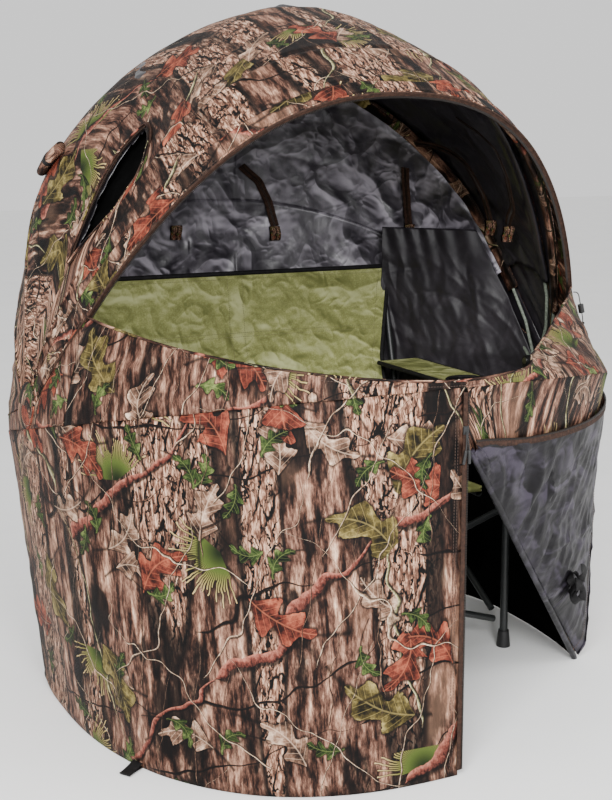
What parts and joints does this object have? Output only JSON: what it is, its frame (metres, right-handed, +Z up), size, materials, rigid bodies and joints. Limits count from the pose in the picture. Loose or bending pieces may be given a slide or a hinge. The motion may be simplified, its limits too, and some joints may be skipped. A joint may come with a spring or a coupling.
{
  "type": "pop up ground blind",
  "caption": "One-person hunting blind: a camouflage tent shell on a folding armchair, with a hood that folds back on pivoting bows and a zipped front door.",
  "frame": {"origin": "middle of the footprint of the object's box, on the ground", "axes": "+Z up, front and door towards -Y, +X the sitter's left"},
  "size_m": [1.344, 1.2694, 1.5297],
  "materials": {
    "steel_tube": "powder coat",
    "black_plastic": "moulded",
    "zinc": "plated",
    "olive_canvas": "woven polyester",
    "black_mesh": "mesh",
    "bow_eye": "pressed",
    "glass_fibre": "pultruded",
    "lining": "coated nylon",
    "webbing": "woven",
    "zip_tape": "woven tape",
    "elastic": "braided",
    "camo": "printed polyester"
  },
  "bodies": {
    "root": {"leg_front_left": "steel_tube", "leg_front_right": "steel_tube", "leg_rear_left": "steel_tube", "leg_rear_right": "steel_tube", "arm_tube_left": "steel_tube", "arm_tube_right": "steel_tube", "seat_rail_left": "steel_tube", "seat_rail_right": "steel_tube", "back_upright_left": "steel_tube", "back_upright_right": "steel_tube", "back_top_tube": "steel_tube", "front_brace_rising": "steel_tube", "front_brace_falling": "steel_tube", "rear_brace_rising": "steel_tube", "rear_brace_falling": "steel_tube", "side_brace_left": "steel_tube", "side_brace_right": "steel_tube", "foot_caps": "black_plastic", "frame_rivets": "zinc", "seat_sling": "olive_canvas", "back_sling": "olive_canvas", "armrest_left": "olive_canvas", "armrest_right": "olive_canvas", "cup_holder_left": "black_mesh", "cup_holder_right": "black_mesh", "hub_bracket_left": "black_plastic", "hub_bracket_right": "black_plastic", "hub_pins": "zinc", "waist_hoop": "glass_fibre", "skirt_right": "camo", "skirt_left": "camo", "skirt_rear": "camo", "front_yoke": "camo", "side_yoke_left": "camo", "side_yoke_right": "camo", "hub_patch_left": "camo", "hub_patch_right": "camo", "hood_rear_panel": "camo", "door_zip_tape": "zip_tape", "draw_cord": "elastic", "stake_loops": "webbing", "stake_grommets": "zinc"},
    "rear_bow_body": {"rear_bow": "glass_fibre", "rear_bow_eyes": "bow_eye", "hood_back_panel": "camo"},
    "top_bow_body": {"top_bow": "glass_fibre", "top_bow_eyes": "bow_eye", "hood_top_panel": "camo", "window_cover_right": "lining"},
    "second_bow_body": {"second_bow": "glass_fibre", "second_bow_eyes": "bow_eye", "hood_front_panel": "camo"},
    "rim_bow_body": {"rim_bow": "glass_fibre", "rim_bow_eyes": "bow_eye", "hood_visor": "camo"},
    "door": {"door_flap": "lining", "door_tether": "webbing"},
    "slider": {"zip_slider": "zinc"},
    "lock": {"cord_lock": "black_plastic"}
  },
  "joints": [
    {"name": "hood_fold", "type": "hinge", "parent": "root", "child": "rear_bow_body", "pos_m": [0, 0, 0.68], "axis": [-1, 0, 0], "range_deg": [0, 36], "deforming": ["hood_rear_panel"]},
    {"name": "top_bow_fold", "type": "hinge", "parent": "rear_bow_body", "child": "top_bow_body", "pos_m": [0, 0, 0.68], "axis": [-1, 0, 0], "range_deg": [0, 18], "deforming": ["hood_back_panel"]},
    {"name": "second_bow_fold", "type": "hinge", "parent": "top_bow_body", "child": "second_bow_body", "pos_m": [0, 0, 0.68], "axis": [-1, 0, 0], "range_deg": [0, 39], "deforming": ["hood_top_panel", "window_cover_right"]},
    {"name": "rim_bow_fold", "type": "hinge", "parent": "second_bow_body", "child": "rim_bow_body", "pos_m": [0, 0, 0.68], "axis": [-1, 0, 0], "range_deg": [0, 4], "deforming": ["hood_front_panel", "hood_visor"]},
    {"name": "door_flap_fold", "type": "hinge", "parent": "root", "child": "door", "pos_m": [0.004, -0.631, 0.66], "axis": [0.5974, 0.393, -0.6991], "range_deg": [0, 172]},
    {"name": "door_zip_slide", "type": "slide", "parent": "root", "child": "slider", "axis": [0, 0, -1], "range_m": [0, 0.62]},
    {"name": "cord_lock_slide", "type": "slide", "parent": "root", "child": "lock", "axis": [0.2419, 0, -0.9703], "range_m": [0, 0.016]}
  ],
  "couplings": [
    {"joint": "top_bow_fold", "follows": "hood_fold", "ratio": 0.5},
    {"joint": "second_bow_fold", "follows": "hood_fold", "ratio": 1.0833},
    {"joint": "rim_bow_fold", "follows": "hood_fold", "ratio": 0.1111}
  ]
}
